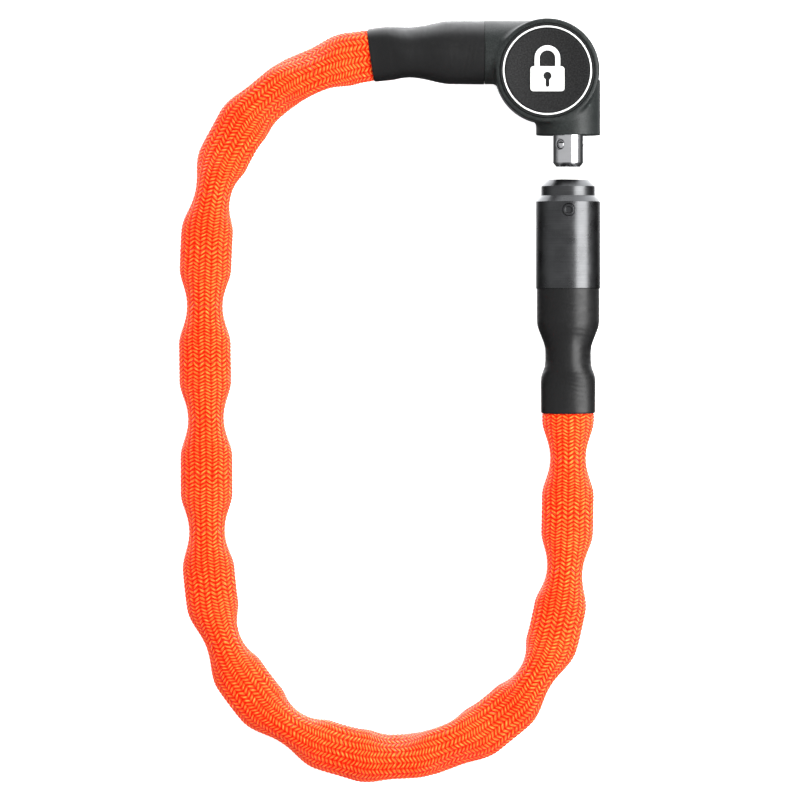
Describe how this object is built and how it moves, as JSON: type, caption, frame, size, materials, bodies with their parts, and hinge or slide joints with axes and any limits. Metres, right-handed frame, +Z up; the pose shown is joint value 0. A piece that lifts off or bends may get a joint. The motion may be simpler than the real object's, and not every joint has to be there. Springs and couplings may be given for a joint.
{
  "type": "chain bike lock",
  "caption": "Round lock head with a ball-lock stud, a jointed link chain in a woven sleeve, and a barrel on its end that plugs onto the stud.",
  "frame": {"origin": "centre of the lock's outline, on the plane that it lies on", "axes": "+Z up from the plane that the lock lies on, +Y from the barrel towards the head, +X to the head's right"},
  "size_m": [0.2107, 0.3817, 0.0328],
  "materials": {
    "housing": "fine-textured dark grey powder coat",
    "dark_coat": "fine-textured near-black powder coat",
    "charcoal": "finely pebbled charcoal plastic",
    "white_trim": "satin white",
    "chrome": "bright polished chrome",
    "gunmetal": "glossy dark gunmetal plating",
    "steel": "hardened steel",
    "brass": "machined brass",
    "heat_shrink": "semi-matt black heat-shrink tube",
    "weave": "orange herringbone braid"
  },
  "bodies": {
    "lock_head": {"head_housing": "housing", "back_plate": "dark_coat", "back_screw_1": "steel", "back_screw_2": "steel", "back_screw_3": "steel", "front_bezel": "dark_coat", "front_ring": "white_trim", "front_disc": "charcoal", "front_emblem": "white_trim", "locking_stud": "chrome", "plunger_spring": "steel", "cylinder_shell": "steel", "cover_rivet": "chrome", "head_anchor_pin": "steel", "head_heat_shrink": "heat_shrink", "link_01": "steel", "sleeve": "weave"},
    "key_plug": {"cylinder_plug": "brass", "drive_crank": "steel"},
    "plunger": {"plunger": "steel"},
    "ball_1": {"locking_ball_1": "chrome"},
    "ball_2": {"locking_ball_2": "chrome"},
    "ball_3": {"locking_ball_3": "chrome"},
    "keyhole_cover": {"keyhole_cover": "steel"},
    "chain_02": {"link_02": "steel"},
    "chain_03": {"link_03": "steel"},
    "chain_04": {"link_04": "steel"},
    "chain_05": {"link_05": "steel"},
    "chain_06": {"link_06": "steel"},
    "chain_07": {"link_07": "steel"},
    "chain_08": {"link_08": "steel"},
    "chain_09": {"link_09": "steel"},
    "chain_10": {"link_10": "steel"},
    "chain_11": {"link_11": "steel"},
    "chain_12": {"link_12": "steel"},
    "chain_13": {"link_13": "steel"},
    "chain_14": {"link_14": "steel"},
    "chain_15": {"link_15": "steel"},
    "chain_16": {"link_16": "steel"},
    "chain_17": {"link_17": "steel"},
    "chain_18": {"link_18": "steel"},
    "chain_19": {"link_19": "steel"},
    "chain_20": {"link_20": "steel"},
    "chain_21": {"link_21": "steel"},
    "chain_22": {"link_22": "steel"},
    "chain_23": {"link_23": "steel"},
    "chain_24": {"link_24": "steel"},
    "chain_25": {"link_25": "steel"},
    "chain_26": {"link_26": "steel"},
    "barrel": {"barrel_shell": "gunmetal", "barrel_liner": "steel", "barrel_rivet": "gunmetal", "barrel_core": "steel", "barrel_anchor_pin": "steel", "barrel_heat_shrink": "heat_shrink", "link_27": "steel"}
  },
  "joints": [
    {"name": "cover_swing", "type": "hinge", "parent": "lock_head", "child": "keyhole_cover", "pos_m": [0.0662, 0.1646, 0.0012], "axis": [0, 0, 1], "range_deg": [0, 60]},
    {"name": "key_turn", "type": "hinge", "parent": "lock_head", "child": "key_plug", "pos_m": [0.0782, 0.1646, 0.012], "axis": [0, 0, -1], "range_deg": [0, 90]},
    {"name": "plunger_slide", "type": "slide", "parent": "lock_head", "child": "plunger", "axis": [0, -1, 0], "range_m": [0, 0.0048], "deforming": ["plunger_spring"]},
    {"name": "ball_1_slide", "type": "slide", "parent": "lock_head", "child": "ball_1", "axis": [-0.5592, 0, 0.829], "range_m": [0, 0.00105]},
    {"name": "ball_2_slide", "type": "slide", "parent": "lock_head", "child": "ball_2", "axis": [0.9976, 0, 0.0698], "range_m": [0, 0.00105]},
    {"name": "ball_3_slide", "type": "slide", "parent": "lock_head", "child": "ball_3", "axis": [-0.4384, 0, -0.8988], "range_m": [0, 0.00105]},
    {"name": "link_01_bend", "type": "hinge", "parent": "lock_head", "child": "chain_02", "pos_m": [0.00261, 0.17415, 0.01648], "axis": [0, 0, -1], "range_deg": [0, 12.06], "deforming": ["sleeve", "head_heat_shrink"]},
    {"name": "link_02_bend", "type": "hinge", "parent": "chain_02", "child": "chain_03", "pos_m": [-0.0252, 0.17037, 0.01541], "axis": [0, 0, -1], "range_deg": [0, 18.78], "deforming": ["sleeve"]},
    {"name": "link_03_bend", "type": "hinge", "parent": "chain_03", "child": "chain_04", "pos_m": [-0.05109, 0.15963, 0.01354], "axis": [0, 0, -1], "range_deg": [0, 21.98], "deforming": ["sleeve"]},
    {"name": "link_04_bend", "type": "hinge", "parent": "chain_04", "child": "chain_05", "pos_m": [-0.07244, 0.14139, 0.01288], "axis": [0, 0, -1], "range_deg": [0, 24.39], "deforming": ["sleeve"]},
    {"name": "link_05_bend", "type": "hinge", "parent": "chain_05", "child": "chain_06", "pos_m": [-0.0861, 0.11684, 0.01285], "axis": [0, 0, -1], "range_deg": [0, 21.83], "deforming": ["sleeve"]},
    {"name": "link_06_bend", "type": "hinge", "parent": "chain_06", "child": "chain_07", "pos_m": [-0.09159, 0.08929, 0.01285], "axis": [0, 0, -1], "range_deg": [0, 12.84], "deforming": ["sleeve"]},
    {"name": "link_07_bend", "type": "hinge", "parent": "chain_07", "child": "chain_08", "pos_m": [-0.09277, 0.06123, 0.01285], "axis": [0, 0, -1], "range_deg": [-1.36, 6.11], "deforming": ["sleeve"]},
    {"name": "link_08_bend", "type": "hinge", "parent": "chain_08", "child": "chain_09", "pos_m": [-0.09292, 0.03314, 0.01285], "axis": [0, 0, -1], "range_deg": [-1.36, 5.03], "deforming": ["sleeve"]},
    {"name": "link_09_bend", "type": "hinge", "parent": "chain_09", "child": "chain_10", "pos_m": [-0.09256, 0.00505, 0.01285], "axis": [0, 0, -1], "range_deg": [-1.36, 4.38], "deforming": ["sleeve"]},
    {"name": "link_10_bend", "type": "hinge", "parent": "chain_10", "child": "chain_11", "pos_m": [-0.09202, -0.02303, 0.01285], "axis": [0, 0, -1], "range_deg": [-1.36, 4], "deforming": ["sleeve"]},
    {"name": "link_11_bend", "type": "hinge", "parent": "chain_11", "child": "chain_12", "pos_m": [-0.09199, -0.05112, 0.01285], "axis": [0, 0, -1], "range_deg": [-1.36, 4.79], "deforming": ["sleeve"]},
    {"name": "link_12_bend", "type": "hinge", "parent": "chain_12", "child": "chain_13", "pos_m": [-0.09156, -0.07921, 0.01285], "axis": [0, 0, -1], "range_deg": [-1.36, 9.11], "deforming": ["sleeve"]},
    {"name": "link_13_bend", "type": "hinge", "parent": "chain_13", "child": "chain_14", "pos_m": [-0.08864, -0.10715, 0.01285], "axis": [0, 0, -1], "range_deg": [-1.36, 18.64], "deforming": ["sleeve"]},
    {"name": "link_14_bend", "type": "hinge", "parent": "chain_14", "child": "chain_15", "pos_m": [-0.07875, -0.13344, 0.01285], "axis": [0, 0, -1], "range_deg": [0, 20.41], "deforming": ["sleeve"]},
    {"name": "link_15_bend", "type": "hinge", "parent": "chain_15", "child": "chain_16", "pos_m": [-0.06184, -0.15587, 0.01285], "axis": [0, 0, -1], "range_deg": [0, 24.11], "deforming": ["sleeve"]},
    {"name": "link_16_bend", "type": "hinge", "parent": "chain_16", "child": "chain_17", "pos_m": [-0.03825, -0.17111, 0.01285], "axis": [0, 0, -1], "range_deg": [0, 21.17], "deforming": ["sleeve"]},
    {"name": "link_17_bend", "type": "hinge", "parent": "chain_17", "child": "chain_18", "pos_m": [-0.0112, -0.17871, 0.01285], "axis": [0, 0, -1], "range_deg": [0, 21.96], "deforming": ["sleeve"]},
    {"name": "link_18_bend", "type": "hinge", "parent": "chain_18", "child": "chain_19", "pos_m": [0.01687, -0.1776, 0.01285], "axis": [0, 0, -1], "range_deg": [0, 22.7], "deforming": ["sleeve"]},
    {"name": "link_19_bend", "type": "hinge", "parent": "chain_19", "child": "chain_20", "pos_m": [0.0431, -0.16755, 0.01285], "axis": [0, 0, -1], "range_deg": [0, 21.47], "deforming": ["sleeve"]},
    {"name": "link_20_bend", "type": "hinge", "parent": "chain_20", "child": "chain_21", "pos_m": [0.0651, -0.15009, 0.01285], "axis": [0, 0, -1], "range_deg": [0, 23.94], "deforming": ["sleeve"]},
    {"name": "link_21_bend", "type": "hinge", "parent": "chain_21", "child": "chain_22", "pos_m": [0.07983, -0.12617, 0.01285], "axis": [0, 0, -1], "range_deg": [0, 22.97], "deforming": ["sleeve"]},
    {"name": "link_22_bend", "type": "hinge", "parent": "chain_22", "child": "chain_23", "pos_m": [0.08599, -0.09877, 0.01285], "axis": [0, 0, -1], "range_deg": [0, 11.85], "deforming": ["sleeve"]},
    {"name": "link_23_bend", "type": "hinge", "parent": "chain_23", "child": "chain_24", "pos_m": [0.08835, -0.07078, 0.01282], "axis": [0, 0, 1], "range_deg": [-3.15, 4], "deforming": ["sleeve"]},
    {"name": "link_24_bend", "type": "hinge", "parent": "chain_24", "child": "chain_25", "pos_m": [0.08881, -0.0427, 0.01347], "axis": [0, 0, 1], "range_deg": [-3.15, 4], "deforming": ["sleeve"]},
    {"name": "link_25_bend", "type": "hinge", "parent": "chain_25", "child": "chain_26", "pos_m": [0.0888, -0.01467, 0.01532], "axis": [0, 0, 1], "range_deg": [-1.6, 4], "deforming": ["sleeve"]},
    {"name": "link_26_bend", "type": "hinge", "parent": "chain_26", "child": "barrel", "pos_m": [0.0888, 0.0134, 0.01646], "axis": [0, 0, 1], "range_deg": [-1.6, 4], "deforming": ["sleeve", "barrel_heat_shrink"]}
  ],
  "couplings": [
    {"joint": "key_turn", "follows": "plunger_slide", "rad_per_m": 327.25},
    {"joint": "ball_1_slide", "follows": "plunger_slide", "ratio": 0.21875},
    {"joint": "ball_2_slide", "follows": "plunger_slide", "ratio": 0.21875},
    {"joint": "ball_3_slide", "follows": "plunger_slide", "ratio": 0.21875}
  ]
}
